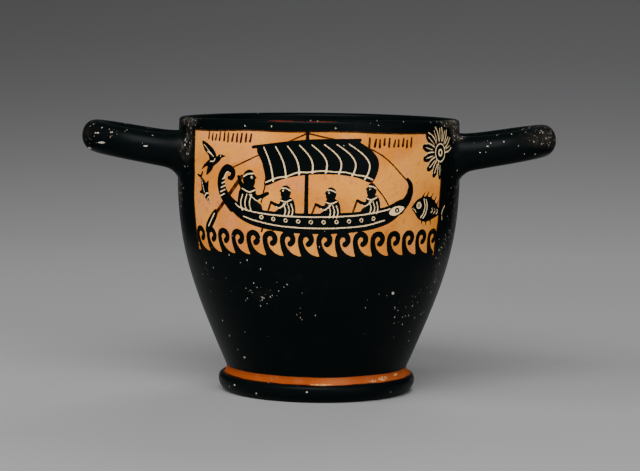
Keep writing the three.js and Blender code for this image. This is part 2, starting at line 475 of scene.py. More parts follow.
def smooth(points, closed=False, steps=6):
    """A curved line that passes through every point."""
    p = np.array(points, float)
    if closed:
        p = np.concatenate([p[-1:], p, p[:2]])
    else:
        p = np.concatenate([2 * p[:1] - p[1:2], p, 2 * p[-1:] - p[-2:-1]])
    share = np.linspace(0, 1, steps, endpoint=False)[:, None]
    out = []
    for a, b, c, d in zip(p, p[1:], p[2:], p[3:]):
        even = 2 * b + (c - a) * share
        bend = (2 * a - 5 * b + 4 * c - d) * share**2 + (3 * b - a - 3 * c + d) * share**3
        out.append((even + bend) / 2)
    line = np.concatenate(out)
    return line if closed else np.concatenate([line, p[-2:-1]])


def segment_distance(spots, a, b, wide_a=0.0, wide_b=0.0):
    """Half width of a tapering segment minus the distance to its middle line."""
    way = b - a
    share = np.clip((spots - a) @ way / max(way @ way, 1e-9), 0, 1)
    gap = np.linalg.norm(spots - a - share[:, None] * way, axis=1)
    return wide_a + (wide_b - wide_a) * share - gap


print("a square outline becomes", len(smooth([(0, 0), (1, 0), (1, 1), (0, 1)], True)), "points")

# %% [markdown]
# The painter drew in slip with a brush, so every black shape has a clean edge, and then cut
# fine lines through the dry slip to the pale clay. Each paint is kept here as a distance in
# millimetres from every point of the wall to the nearest edge of that paint, positive where
# the paint lies. The material turns black where the distance passes zero. The edges stay
# crisp at any size of picture, because a distance changes evenly between two points.

# %% Paints
REACH = 3.0
FAR = -1e3


class Paint:
    """One paint on the wall: signed distances, positive where the paint lies."""

    def __init__(self, spots):
        self.spots = spots
        self.depth = np.full(len(spots), -REACH)

    def _near(self, points, margin):
        low, high = points.min(0) - margin, points.max(0) + margin
        return np.flatnonzero(np.all((self.spots > low) & (self.spots < high), axis=1))

    def _put(self, near, depth, cut=False):
        old = self.depth[near]
        self.depth[near] = np.minimum(old, -depth) if cut else np.maximum(old, depth)

    def fill(self, outline):
        points = smooth(outline, closed=True)
        near = self._near(points, REACH)
        spots = self.spots[near]
        depth = np.full(len(near), FAR)
        inside = np.zeros(len(near), bool)
        for a, b in zip(points, np.roll(points, -1, axis=0)):
            depth = np.maximum(depth, segment_distance(spots, a, b))
            if a[1] != b[1]:
                crosses = (a[1] > spots[:, 1]) != (b[1] > spots[:, 1])
                edge = a[0] + (spots[:, 1] - a[1]) * (b[0] - a[0]) / (b[1] - a[1])
                inside ^= crosses & (spots[:, 0] < edge)
        self._put(near, np.where(inside, -depth, depth))

    def stroke(self, line, width, end_width=None):
        """A brush line of a half width that may taper to another."""
        points = smooth(line) if len(line) > 2 else np.array(line, float)
        end_width = width if end_width is None else end_width
        wide = np.linspace(width, end_width, len(points))
        near = self._near(points, REACH + max(width, end_width))
        spots = self.spots[near]
        depth = np.full(len(near), FAR)
        for a, b, wide_a, wide_b in zip(points, points[1:], wide, wide[1:]):
            depth = np.maximum(depth, segment_distance(spots, a, b, wide_a, wide_b))
        self._put(near, depth)

    def dot(self, centre, radius, cut=False):
        middle = np.array([centre], float)
        near = self._near(middle, REACH + radius)
        depth = radius - np.linalg.norm(self.spots[near] - middle, axis=1)
        self._put(near, depth, cut)


class Picture:
    """The three paints of one side, drawn in millimetres across and above the table."""

    def __init__(self, spots):
        self.gloss = Paint(spots)
        self.cream = Paint(spots)
        self.wash = Paint(spots)


print("each paint is known up to", REACH, "mm from its edge")

# %% [markdown]
# Every motif is drawn around its own middle, so that it can be set anywhere, at any size and
# facing either way. A pen carries that placing. It also knows the painter's four moves: to
# fill a black shape, to draw a black line, to draw a thin line and to cut a pale line.

# %% Pen
LINE = 0.34


def placed(points, at, size=1.0, turn=0.0, flip=1):
    """Points of a motif, turned by degrees, scaled and moved to their place."""
    p = np.array(points, float) * [flip, 1] * size
    c, s = math.cos(math.radians(turn)), math.sin(math.radians(turn))
    return p @ np.array([[c, s], [-s, c]]) + at


class Pen:
    """Draws at one place, size, turn and facing in a picture."""

    def __init__(self, picture, at=(0, 0), size=1.0, turn=0.0, flip=1):
        self.picture = picture
        self.placing = (at, size, turn, flip)
        self.size = size

    def fill(self, outline):
        self.picture.gloss.fill(placed(outline, *self.placing))

    def brush(self, line, width, end_width):
        points = placed(line, *self.placing)
        self.picture.gloss.stroke(points, width * self.size, end_width * self.size)

    def thin(self, line, width, end_width):
        self.picture.wash.stroke(placed(line, *self.placing), width, end_width)

    def cut(self, line, share=1.0, end_share=None):
        end_share = share if end_share is None else end_share
        self.picture.cream.stroke(placed(line, *self.placing), LINE * share, LINE * end_share)

    def eye(self, *rings):
        """Discs of a middle and a radius, pale and black in turn."""
        for k, (x, z, radius) in enumerate(rings):
            middle = placed([(x, z)], *self.placing)[0]
            self.picture.cream.dot(middle, radius * self.size, cut=k % 2 == 1)


print("cut lines: %.2f mm wide" % (2 * LINE))

# %% [markdown]
# A running wave closes the picture at its foot, as a border of the period often does. One
# period of it is a formula of circles and an ellipse, repeated along the wall: a knob at the
# end of a curling crest, and a body between the back of one wave and the stem of the next.
# Crests drawn one by one would differ, and outlines would take hundreds of points.

# %% Running wave
WAVE_PERIOD = 10.0
WAVE_LOW = 82.0
WAVE_REACH = (-5, 19)
KNOB = (5.4, 6.6)
KNOB_RADIUS = 1.6
CREST = (4.1, 9.0)
CREST_RADIUS = 2.85
CREST_HALF = 1.55
CREST_FROM = -62
BACK = (11.5, 8.5)
BACK_HALF = (8.9, 8.5)
BACK_DEPTH = 8.2
STEM = (31.95, 9.0)
STEM_RADIUS = 22.35
BODY_TOP = 8.7


def running_wave(picture, left, right):
    """Curling crests over a black ground, with a pale tongue between each two."""
    spots = picture.gloss.spots
    near = np.flatnonzero((spots[:, 0] > left) & (spots[:, 0] < right))
    rise = spots[near, 1] - WAVE_LOW
    near = near[(rise > WAVE_REACH[0]) & (rise < WAVE_REACH[1])]
    s = (spots[near, 0] - left) % WAVE_PERIOD
    t = spots[near, 1] - WAVE_LOW
    best = np.full(len(near), -REACH)
    body = np.full(len(near), REACH)
    for shift in (-WAVE_PERIOD, 0.0, WAVE_PERIOD):
        x = s + shift
        knob = KNOB_RADIUS - np.hypot(x - KNOB[0], t - KNOB[1])
        angle = np.degrees(np.arctan2(t - CREST[1], x - CREST[0]))
        band = CREST_HALF - np.abs(np.hypot(x - CREST[0], t - CREST[1]) - CREST_RADIUS)
        arc = np.where(angle > CREST_FROM, band, -REACH)
        best = np.maximum(best, np.maximum(knob, arc))
        ellipse = 1 - np.hypot((x - BACK[0]) / BACK_HALF[0], (t - BACK[1]) / BACK_HALF[1])
        stem = np.hypot(x - STEM[0], t - STEM[1]) - STEM_RADIUS
        body = np.minimum(body, -np.minimum(ellipse * BACK_DEPTH, stem))
    below = np.minimum(body, BODY_TOP - t)
    depth = np.clip(np.maximum(np.maximum(best, below), -t), -REACH, REACH)
    picture.gloss.depth[near] = np.maximum(picture.gloss.depth[near], depth)


print("waves:", WAVE_PERIOD, "mm apart")

# %% [markdown]
# The sea creatures and the bird are common ones of the period. Each is a black outline with
# a few cut lines for fins, gills and feathers, which is how the painter gave them life. A
# closed line through a dozen points is enough for a body, as the curve between is smooth.

# %% Sea creatures and bird


def dolphin(pen):
    pen.fill([(-11, 1.6), (-6, 4.4), (0, 5.4), (5, 4.6), (8.4, 2.6), (10.4, 1.9), (13, 1.5), (13, 0.4),
              (10, -0.2), (7, -1.6), (2, -3.2), (-3, -2.8), (-7, -0.8), (-11, 0.2)])
    pen.fill([(-3, 4.4), (-4.4, 9), (-1.2, 7.6), (2.2, 4.6)])
    pen.fill([(2.6, -2), (-0.6, -7), (-1.6, -6), (-1, -2)])
    pen.fill([(-10, 1.4), (-13.4, 5.6), (-14.6, 4.4), (-13, 1.2), (-15.6, -1.8), (-14.8, -3.2),
              (-10.4, 0.4)])
    pen.cut([(5, 4), (3.8, 1.4), (4.8, -1.8)])
    pen.cut([(12.6, 0.8), (10, 0.7), (8, 0)], 0.8)
    pen.cut([(2.6, -0.6), (-2.6, -0.2), (-8.6, 1)], 0.8)
    pen.eye((7.6, 2, 0.95), (7.6, 2, 0.4))


def fish(pen):
    """A plump fish with a spiny back, a double gill line and a ringed eye."""
    pen.fill([(10, 0.6), (8, 3.4), (4, 5.4), (-0.6, 5.6), (-5.4, 3.4), (-8.6, 1), (-8.6, -0.6),
              (-5, -2.6), (0, -4.8), (5, -4.4), (8.6, -1.8), (10.4, -0.4)])
    pen.fill([(-8, 0.8), (-11, 4), (-12.8, 4.4), (-11.4, 0.4), (-12.6, -3.2), (-10.6, -3), (-8, -0.4)])
    for x, z in ((5.2, 5), (2.6, 5.8), (-0.4, 5.6), (-3.2, 4.6), (-5.4, 3.2)):
        pen.brush([(x, z - 0.6), (x - 1.3, z + 2)], 0.55, 0.2)
    for x, z in ((3.4, -4.6), (0.6, -4.8), (-2.4, -3.8)):
        pen.brush([(x, z + 0.6), (x - 1.2, z - 1.7)], 0.5, 0.2)
    for back in (0.0, 1.5):
        pen.cut([(3.9 - back, 4.4), (2.5 - back, 1.4), (2.8 - back, -1.6), (4 - back, -3.6)])
    pen.eye((6.3, 1.3, 1.45), (6.3, 1.3, 0.85), (6.3, 1.3, 0.35))
    pen.cut([(9.8, -0.4), (8.4, -0.8), (7.2, -1.8)], 0.8)
    for x in (-2.2, -4.2, -6.2):
        pen.cut([(x, 1.4), (x - 0.9, 0.4), (x, -0.8)], 0.75)
    pen.cut([(-12.6, 3.6), (-11, 0.4), (-12.4, -2.6)], 0.8)


def sea_bird(pen):
    pen.fill([(-7, -0.8), (-2, 1.4), (3, 2), (5, 3), (7, 2.8), (9.8, 1.6), (6.8, 1), (4.8, -0.6),
              (0, -2.4), (-5, -2), (-9.6, -3.2)])
    pen.fill([(3, 1.2), (2, 5.4), (-2.6, 9.4), (-7.6, 11.4), (-6, 6.6), (-3, 3.4), (-2, 0.6)])
    pen.fill([(1.4, -0.6), (-1.2, -4.4), (-5.8, -6.4), (-4.6, -2.8), (-2.4, -0.6)])
    for share in (0.0, 1.0):
        tip = (-6.2 + 2.4 * share, 9.4 - 4 * share)
        pen.cut([tip, (-2.2 + share, 5.6 - 1.4 * share), (1, 2.4)], 0.8)
    pen.cut([(2, 1.4), (0.8, 0), (-1.8, 0.2)], 0.8)
    pen.eye((6.2, 2.1, 0.4))


print("motifs:", ", ".join(motif.__name__ for motif in (dolphin, fish, sea_bird)))

# %% [markdown]
# The palmette is a fan of leaves around a heart, each leaf outlined by a cut line. The people
# share one profile of plain proportions, wrapped in a mantle. A row of short strokes fills
# each upper corner of the panel, all of them leaning one way.

# %% Palmette, people and strokes
OUTER_LEAF_LOSS = 0.14
HEART_RADIUS = 4.6
HEART_LINE = 3.8
STROKE_WIDTHS = (0.76, 0.56)
STROKE_LEAN = (0.2, 0.9)
STROKE_RISE = (0.55, 1)
STROKE_STEP = (2.5, 3.4)


def palmette(picture, at, size, turn, petals, spread):
    for k in range(petals):
        share = k / (petals - 1)
        long = 1 - OUTER_LEAF_LOSS * abs(2 * share - 1)
        pen = Pen(picture, at, size * long, turn + spread * (share - 0.5))
        pen.fill([(-0.3, 3), (-1.2, 6), (-1.9, 9.6), (-1.2, 12.4), (0, 13.2), (1.2, 12.4), (1.9, 9.6),
                  (1.2, 6), (0.3, 3)])
        pen.cut([(1.5, 5), (2.1, 9), (1.5, 12)])
        pen.cut([(0, 6), (0, 11)], 0.8)
    picture.gloss.dot(at, HEART_RADIUS * size)
    heart = Pen(picture, at, size)
    turns = np.linspace(0, 2 * math.pi, 15)
    heart.cut([(HEART_LINE * math.sin(a), HEART_LINE * math.cos(a)) for a in turns])
    heart.eye((0, 0, 1.7), (0, 0, 0.9))


def person(pen):
    """One of the crew, seated and looking ahead."""
    pen.fill([(-2.6, 12), (-3.2, 14.6), (-2.2, 17.4), (0.4, 18.8), (2.6, 18), (3.3, 16.4), (4.7, 14.8),
              (3.8, 14), (3.9, 12.6), (3.2, 10.9), (1.6, 10.2), (-1.2, 10.4)])
    pen.fill([(-0.8, 11.2), (-4.2, 10), (-5.8, 6), (-6.2, 1), (-5.6, -3), (6.4, -3), (7.4, 1.2),
              (5.2, 3.2), (4.4, 6.6), (4, 9.6), (1.8, 11)])
    pen.brush([(0.4, 8.2), (5, 5.2), (10.4, 7.4)], 1.7, 0.95)
    pen.cut([(-3.6, 9.4), (0.4, 7.8), (3.9, 8.9)])
    pen.cut([(0.6, 6.6), (4.6, 3.7), (7, 4.6)], 0.9)
    pen.cut([(-2.8, 15.2), (-0.2, 16.6), (3, 16.9)])
    pen.eye((2, 15, 0.75), (2.1, 15, 0.3))
    for x in (-4, -1.6, 1):
        pen.cut([(x + 0.8, 6.6), (x - 0.4, 2.4), (x + 0.4, -1.4)], 0.9)


def short_strokes(picture, left, right, low, high, seed):
    rng = np.random.default_rng(seed)
    x = left
    while x < right:
        lean = rng.uniform(*STROKE_LEAN)
        rise = (high - low) * rng.uniform(*STROKE_RISE)
        base = low + rng.uniform(0, high - low - rise)
        picture.wash.stroke([(x, base), (x + lean, base + rise)], *STROKE_WIDTHS)
        x += rng.uniform(*STROKE_STEP)


print("strokes taper from %.2f to %.2f mm" % tuple(2 * width for width in STROKE_WIDTHS))

# %% [markdown]
# A round merchant ship fills the middle of the front. Its sail hangs from a single yard, and
# the curved lines on it are the ropes that gather it. They bow more towards one side, as if
# the wind came from the other. A loop draws them, because they change evenly.

# %% Sail
SAIL_ROPES = 8


def sail(pen):
    """A bellied square sail under a tilted yard, with the ropes that gather it."""
    pen.brush([(-36, 139.2), (-7, 142.8), (22, 143.6)], 0.9, 0.9)
    pen.fill([(-33.4, 139), (-20, 141.2), (-6, 142.4), (8, 143), (19.4, 143.2), (27, 139.4), (32, 134),
              (32.4, 128), (28.6, 121.4), (20, 124), (8, 125.6), (-6, 125.2), (-18, 123),
              (-28.6, 119), (-28.8, 124), (-30.6, 131)])
    for k in range(SAIL_ROPES):
        share = (k + 0.4) / (SAIL_ROPES - 0.2)
        top = np.array([-32.4 + 51 * share, 139.2 + 4 * share - 1.6 * share**2])
        low = np.array([-27 + 54.4 * share, 120.6 + 5 * math.sin(math.pi * share) + 1.6 * share])
        belly = 1.0 + 6 * share**1.5
        line = [top + (low - top) * s + (belly * math.sin(math.pi * s), 0) for s in np.linspace(0, 1, 7)]
        pen.cut(line, 0.9, 1.2)
    pen.cut([(-28.4, 120.8), (-22, 123.4), (-17, 124.2), (-11, 126.4), (-5, 126.6), (1, 127.4), (8, 127),
             (14, 126.8), (20, 125.4), (25, 124.6), (29.2, 122.8)])


print("ropes on the sail:", SAIL_ROPES)

# %% [markdown]
# The hull is one long crescent with two pale planks cut along it, a row of round oar ports
# and an eye at the bow. It could be cut from a picture, but a drawn outline keeps a clean
# brush edge and stays easy to move.

# %% Hull
PORTS = np.arange(-31, 32, 6.8)


def hull(pen):
    """The crescent of the hull with its two stems, planks, oar ports and bow eye."""
    deck = [(-50, 112.6), (-43.6, 108.8), (-34, 106.6), (-17, 105.2), (1, 105), (22, 106), (37, 108.4),
            (46, 112)]
    keel = [(50.6, 111.4), (46, 103.8), (37, 98.4), (22, 95.2), (1, 94), (-19, 94.8), (-36, 97.6),
            (-47, 102.8), (-53.4, 110.6)]
    pen.fill([*deck, *keel])
    pen.brush([(-49, 107.6), (-55.4, 114.8), (-56.4, 122.4), (-52.8, 127.4), (-48.6, 126),
               (-49, 122.6), (-51.2, 122.4)], 3.4, 1.0)
    pen.brush([(46, 107), (51.2, 112.4), (53, 118.6), (50.8, 122.6)], 3.2, 1.0)
    pen.cut([(-47, 109), *[(x, z - 1.9) for x, z in deck[1:-1]], (40, 107.4)])
    pen.cut([(-42, 102.4), (-35, 100.4), (-20, 97.9), (2, 97.1), (24, 98.3), (37, 101.2)])
    for x in PORTS:
        z = 100.4 + 0.002 * x * x
        pen.eye((x, z, 1.15), (x, z, 0.6))
    for k in range(5):
        x, z = -57.6 + 0.5 * k, 112.4 + 2.3 * k
        pen.cut([(x, z), (x + 3.4, z + 1.4)], 0.9)
    pen.cut([(-54.4, 122.6), (-52.4, 125.4), (-50, 124.8)], 0.9)
    cream = pen.picture.cream
    cream.fill([(39.4, 105), (42, 108), (46.4, 108.6), (49, 107.4), (45.6, 104.4), (42, 103.6)])
    cream.dot((44.4, 106.3), 1.5, cut=True)
    cream.dot((44.4, 106.3), 0.55)


print("oar ports:", len(PORTS))

# %% [markdown]
# Ropes, oars and the steering oar are thin slip, which fires to a dark red-brown instead of
# black. One of the crew steers at the stern and looks ahead, and the others row and look
# back, so they are the same figure drawn the other way around and a little smaller.

# %% Ship and crew
ROWERS_AT = (-17.0, 7.0, 29.0)
ROPE = 0.45
ROPES = [
    [(-6, 147), (-34, 134.4), (-52, 126.4)],
    [(-6, 147), (30, 138), (51.4, 121)],
    [(28.6, 121.6), (35, 114.6), (39, 109)],
    [(-28.6, 119.4), (-31, 110)],
]


def ship(picture):
    pen = Pen(picture)
    hull(pen)
    pen.brush([(-6.4, 104), (-6, 147.6)], 1.15, 0.9)
    sail(pen)
    for rope in ROPES:
        pen.thin(rope, ROPE, ROPE)
    pen.thin([(-42.6, 123.4), (-54.6, 109.4), (-66.4, 98)], 1.15, 1.0)
    pen.fill([(-62, 105), (-60, 102.2), (-65.4, 94.8), (-71, 92), (-69.6, 97.4)])
    pen.cut([(-62.4, 102.8), (-68.2, 95.4)])
    person(Pen(picture, (-38.6, 107), 1.08))
    pen.brush([(-38.8, 117), (-42.8, 119), (-44.6, 123.2)], 1.7, 1.0)
    for x in ROWERS_AT:
        seat = 103.8 + 0.0026 * x * x
        person(Pen(picture, (x, seat), 0.8, flip=-1))
        pen.thin([(x - 8.4, seat + 5.8), (x - 14.2, 94.6)], 0.6, 0.6)


print("crew:", 1 + len(ROWERS_AT))

# %% [markdown]
# On a cup of this kind the picture stands in a panel between the handles, with a frame
# line in thin slip and a border under it. Black covers everything outside the panel. The
# back isn't in the photograph, so it has the same panel with a plainer picture. Each side
# is drawn on the unrolled wall, across in millimetres from its middle and up from the table.

# %% Pictures on both sides
EDGE_RADIUS = 79.0
PANEL_SIDES = (-81.0, 78.0)
BACK_SIDES = (-79, 79)
WAVE_INSET = 0.5
FRAME_LINE_AT = 0.25
FRAME_LINE_HALF = 0.43
PANEL_TOP = [(-84, 147.2), (-40, 147.9), (0, 148.2), (40, 147.5), (84, 146.2)]
WAVE_LAP = 2
LINE_FROM = 1


def lay_ground(picture, sides):
    """Black outside the panel. The painter's frame lines bend a little."""
    spots = picture.gloss.spots
    across, height = spots[:, 0], spots[:, 1]
    wobble = 0.35 * np.sin(height / 9.0) + 0.2 * np.sin(height / 3.7)
    top = np.interp(across, *np.transpose(PANEL_TOP)) + 0.25 * np.sin(across / 8.5)
    inside = np.minimum(across - sides[0] - wobble, sides[1] + wobble - across)
    inside = np.minimum(inside, top - height)
    inside = np.minimum(inside, height - WAVE_LOW + WAVE_LAP)
    picture.gloss.depth = np.maximum(picture.gloss.depth, np.clip(-inside, -REACH, REACH))
    edge = FRAME_LINE_HALF - np.abs(inside - FRAME_LINE_AT)
    edge[height < WAVE_LOW + LINE_FROM] = -REACH
    picture.wash.depth = np.maximum(picture.wash.depth, edge)


def panel(spots, sides):
    """A picture with its black ground and its wave, and still nothing between them."""
    picture = Picture(spots)
    lay_ground(picture, sides)
    running_wave(picture, sides[0] + WAVE_INSET, sides[1] - WAVE_INSET)
    return picture


def front_side(spots):
    picture = panel(spots, PANEL_SIDES)
    ship(picture)
    fish(Pen(picture, (67.2, 105.4), 1.28, turn=-10, flip=-1))
    dolphin(Pen(picture, (-70.6, 115), 0.66, turn=-62))
    sea_bird(Pen(picture, (-63.4, 130.6), 1.05, turn=8))
    palmette(picture, (77.6, 136.2), 1.28, turn=52, petals=11, spread=250)
    short_strokes(picture, -67, -36, 141.6, 146.2, 3)
    short_strokes(picture, 27, 53, 139.6, 144.8, 8)
    return picture


def back_side(spots):
    picture = panel(spots, BACK_SIDES)
    palmette(picture, (0, 118), 1.5, turn=0, petals=11, spread=280)
    dolphin(Pen(picture, (-44, 118), 1.5, turn=10))
    dolphin(Pen(picture, (44, 118), 1.5, turn=-10, flip=-1))
    return picture


print("front panel:", PANEL_SIDES[1] - PANEL_SIDES[0], "mm wide")

# %% [markdown]
# The unrolled pictures now go onto the points of the mesh. Each paint becomes one attribute
# of the mesh, so the material needs no image and no flat map to find it. A picture file
# would blur where the camera comes close. Along the lip a thin line of clay shows where the
# gloss has worn through.

# %% Lay the paints on the cup
LIP_LINE = (-20, 8, 153.1)
LIP_LINE_HALF = 0.16
LIP_LINE_WAVER = 0.06
SIDE_HALF = 78
SKIN_DEPTH = 1.5
MEASURED_HALF = 60
MEASURED_HEIGHTS = (97, 146)
angle = np.arctan2(place[:, 0], -place[:, 1])
degrees = np.degrees(angle)
height = place[:, 2]
on_belt = (height > BELT_LOW - 1) & (height < BELT_HIGH + 1)
on_belt &= (from_axis > wall_radius(height) - SKIN_DEPTH) & (from_axis < BELLY_RADIUS + 0.5)
paints = {name: np.full(len(place), -REACH) for name in ("gloss", "cream", "wash")}
paints["gloss"][:] = REACH
for middle, paint_side in ((0.0, front_side), (math.pi, back_side)):
    turn = (angle - middle + math.pi) % (2 * math.pi) - math.pi
    here = np.flatnonzero(on_belt & (np.abs(turn) < math.radians(SIDE_HALF)))
    picture = paint_side(np.column_stack([turn[here] * EDGE_RADIUS, height[here]]))
    for name in paints:
        paints[name][here] = getattr(picture, name).depth
on_lip = (height > LIP_BASE) & (degrees > LIP_LINE[0]) & (degrees < LIP_LINE[1])
on_lip &= from_axis > RIM_RADIUS - LIP_THICKNESS / 2
line_depth = LIP_LINE_HALF + LIP_LINE_WAVER * np.sin(degrees * 1.7)
line_depth -= np.abs(height - LIP_LINE[2])
paints["gloss"] = np.where(on_lip, np.minimum(paints["gloss"], -line_depth), paints["gloss"])


def store(name, values):
    layer = joined.attributes.new(name, "FLOAT", "POINT")
    layer.data.foreach_set("value", values.astype(np.float32))


for name, depth in paints.items():
    store(name, np.clip(depth, -REACH, REACH))
measured = on_belt & (np.abs(angle) < math.radians(MEASURED_HALF))
measured &= (height > MEASURED_HEIGHTS[0]) & (height < MEASURED_HEIGHTS[1])
black_share = (paints["gloss"][measured] > 0).mean()
print("share of the front panel in black: %.2f" % black_share)

# %% [markdown]
# Two and a half thousand years have rubbed the gloss. It is thinnest where hands and other
# pots touched it: at the handles' roots and ends, along the rim, and in brownish streaks
# low on one side. Dirt painted by chance would fall evenly everywhere. So the wear is
# stored as one soft value per point, from whole to worn, around listed places, and the
# material breaks it up into flecks.
# The places on the body's right and left edges also carry a painted sheen along the outline.

# %% Where the gloss is worn, and where a sheen is painted
WORN_AND_SHEEN_PLACES = [
    # across in degrees, height, half width in degrees, half height, strength
    # On the body's right edge: partly wear, partly a painted sheen along the outline.
    (75, 104, 8, 26, 0.6),
    (66, 74, 8, 26, 0.55),
    (67, 40, 8, 14, 0.4),
    (48, 50, 14, 13, 0.34),
    (30, 62, 14, 12, 0.16),
    (-24, 60, 18, 11, 0.34),
    (-7, 50, 14, 8, 0.3),
    (-42, 72, 12, 16, 0.2),
    (-56, 74, 6, 22, 0.34),
    (-64.5, 140, 4.5, 12, 1.0),
    # On the body's left edge: partly wear, partly a painted sheen along the outline.
    (-76, 112, 6, 14, 0.55),
    (73, 149, 8, 8, 1.1),
    (77, 122, 6, 5, 1.0),
    (-66, 151, 10, 3, 0.9),
    (66, 152, 10, 3, 1.0),
    (-30, 150.6, 14, 1.2, 0.35),
    (28, 150.6, 10, 1.2, 0.3),
    (150, 70, 24, 20, 0.4),
    (-140, 110, 10, 24, 0.4),
]
TIP_WEAR = (0.3, 0.6)
GRIP_WEAR = 0.16
GRIP_HEIGHT = 144
GRIP_HALF = 9
RIM_WEAR = 0.12
RIM_WEAR_DROP = 0.6
RIM_WEAR_HALF = 1.1
BEHIND_SKIN = 2
FADE_START = 2
FADE_LENGTH = 8
LEAST_SHARE = 0.06
worn = np.zeros(len(place))
outer = from_axis > wall_radius(np.clip(height, NECK_TOP, LIP_BASE)) - BEHIND_SKIN
off_wall = from_axis - BELLY_RADIUS - FADE_START
near_wall = np.clip(1 - off_wall / FADE_LENGTH, LEAST_SHARE, 1)
for across, up, half_across, half_up, strength in WORN_AND_SHEEN_PLACES:
    away = (degrees - across + 180) % 360 - 180
    spread = (away / half_across) ** 2 + ((height - up) / half_up) ** 2
    worn = np.maximum(worn, np.where(outer, strength * np.exp(-spread) * near_wall, 0))
past_wall = np.clip((np.abs(place[:, 0]) - BELLY_RADIUS) / HANDLE_PROJECTION, 0, 1)
tip_wear = np.where(place[:, 0] > 0, TIP_WEAR[1], TIP_WEAR[0]) * past_wall**2
tip_wear += GRIP_WEAR * (past_wall > 0)
worn = np.maximum(worn, tip_wear * np.exp(-(((height - GRIP_HEIGHT) / GRIP_HALF) ** 2)))
off_rim = (height - HEIGHT + RIM_WEAR_DROP) / RIM_WEAR_HALF
worn = np.maximum(worn, RIM_WEAR * np.exp(-(off_rim**2)))
store("worn", worn)
print("worn above one half: %.3f of all points" % (worn > 0.5).mean())

# %% [markdown]
# A flat map of the skin lets the finish be baked to pictures later. An automatic map would
# cut the cup into many islands of one scale. Here the front panel gets most of the map,
# because the painting needs the most detail, and the back, the lower wall, the inside, the
# foot and the handles share the rest.

# %% Flat map of the skin
corners = np.empty(len(joined.loops), np.int32)
joined.loops.foreach_get("vertex_index", corners)
counts = np.empty(len(joined.polygons), np.int32)
joined.polygons.foreach_get("loop_total", counts)
face_of = np.repeat(np.arange(len(counts)), counts)
corner = place[corners]


def face_mean(values):
    return (np.bincount(face_of, values, len(counts)) / counts)[face_of]


x, y, z = corner.T
centre = np.column_stack([face_mean(values) for values in (x, y, z)])
centre_radius = np.hypot(centre[:, 0], centre[:, 1])
centre_angle = np.arctan2(centre[:, 0], -centre[:, 1])
turned = np.arctan2(x, -y)
turned += 2 * np.pi * np.round((centre_angle - turned) / (2 * np.pi))
from_front = np.where(turned < 0, turned + 2 * np.pi, turned)
from_front = np.where(np.abs(from_front - centre_angle % (2 * np.pi)) > 1, turned, from_front)
print("map corners:", len(corner))

# %% [markdown]
# Each rectangle of the map takes one part of the skin. Parts of the turned body unroll by
# their angle and height, and flat round parts are seen from straight above. The parts are
# told apart by where the middle of each face lies, so none of them needs a list of faces.

# %% Rectangles of the map
MAP_EDGE = 0.005
FLOOR_TOP = 24
HANDLE_FROM = 0.35
is_outer = centre_radius > wall_radius(np.clip(centre[:, 2], NECK_TOP, LIP_BASE)) - BEHIND_SKIN
is_handle = centre_radius > BELLY_RADIUS + HANDLE_FROM
is_foot = centre[:, 2] < NECK_TOP
is_floor = ~is_outer & ~is_foot & (centre[:, 2] < FLOOR_TOP)
is_belt = is_outer & (centre[:, 2] > BELT_LOW) & (centre[:, 2] < BELT_HIGH)
is_front = is_belt & (np.abs(centre_angle) < math.radians(FRONT_HALF))
is_belt &= ~is_front
is_rest = ~(is_handle | is_foot | is_floor | is_front | is_belt)
is_below = is_foot & (z < RECESS_HEIGHT + 0.6) & (centre_radius < STAND_RADIUS)
PATCHES = [
    # corners, low and high corner of the rectangle, values across and up
    (is_front, (MAP_EDGE, 0.595), (0.995, 0.995), turned, z),
    (is_belt, (MAP_EDGE, 0.385), (0.995, 0.585), from_front, z),
    (is_rest & is_outer, (MAP_EDGE, 0.225), (0.7, 0.375), turned, z),
    (is_rest & ~is_outer, (MAP_EDGE, 0.105), (0.7, 0.215), turned, z),
    (is_below, (0.71, 0.225), (0.86, 0.375), x, y),
    (is_floor, (0.87, 0.225), (0.995, 0.375), x, y),
    (is_foot & ~is_below, (MAP_EDGE, 0.055), (0.995, 0.1), turned, z + np.hypot(x, y)),
]
flat = np.zeros((len(corner), 2))
for chosen, low, high, *values in PATCHES:
    for k in range(2):
        v = values[k][chosen]
        flat[chosen, k] = low[k] + (high[k] - low[k]) * (v - v.min()) / (v.max() - v.min())
print("rectangles:", len(PATCHES))

# %% [markdown]
# A handle unrolls along its centre line and around it, so its map is a long narrow strip
# with no fold. Both handles share one line, because one is the other turned half around.

# %% Strips for the handles
LINE_STRIDE = 8
LOOP_CENTRE = 96
STRIP_SIZE = (0.285, 0.05)
line = leg_line()[0]
line = np.concatenate([line, line[::-1] * [1, -1, 1]])[::LINE_STRIDE]
for side, strip in ((1, (0.71, 0.165)), (-1, (0.71, 0.11))):
    chosen = np.flatnonzero(is_handle & ((centre[:, 0] > 0) == (side > 0)))
    spots = corner[chosen] * [side, side, 1]
    nearest = np.linalg.norm(spots[:, None, :2] - line[None, :, :2], axis=2).argmin(1)
    rise = spots[:, 2] - line[nearest, 2]
    outwards = np.hypot(spots[:, 0] - LOOP_CENTRE, spots[:, 1])
    outwards -= np.hypot(line[nearest, 0] - LOOP_CENTRE, line[nearest, 1])
    around = np.arctan2(rise, outwards) / (2 * np.pi) + 0.5
    flat[chosen, 0] = strip[0] + nearest / len(line) * STRIP_SIZE[0]
    flat[chosen, 1] = strip[1] + around * STRIP_SIZE[1]
bake_map = joined.uv_layers.new(name="OFBake")
bake_map.data.foreach_set("uv", flat.astype(np.float32).ravel())
print("corners on the handles:", int(is_handle.sum()))

# %% [markdown]
# The finish has few colours: three tones of clay in the panels, three darker ones on the
# foot, a dark red lip, and a gloss that is black, brown where thin and as a painted sheen on
# its edges, and grey where rubbed.
# They are given as screen values and turned into the light values that a shader adds up,
# because mixing screen values would make the blends too dark.

# %% Colours of clay and gloss


def from_screen(red, green, blue):
    """A colour given as screen values, turned into the light values that the shader needs."""
    values = [c / 255 for c in (red, green, blue)]
    return tuple(v / 12.92 if v < 0.04 else ((v + 0.055) / 1.055) ** 2.4 for v in values) + (1,)


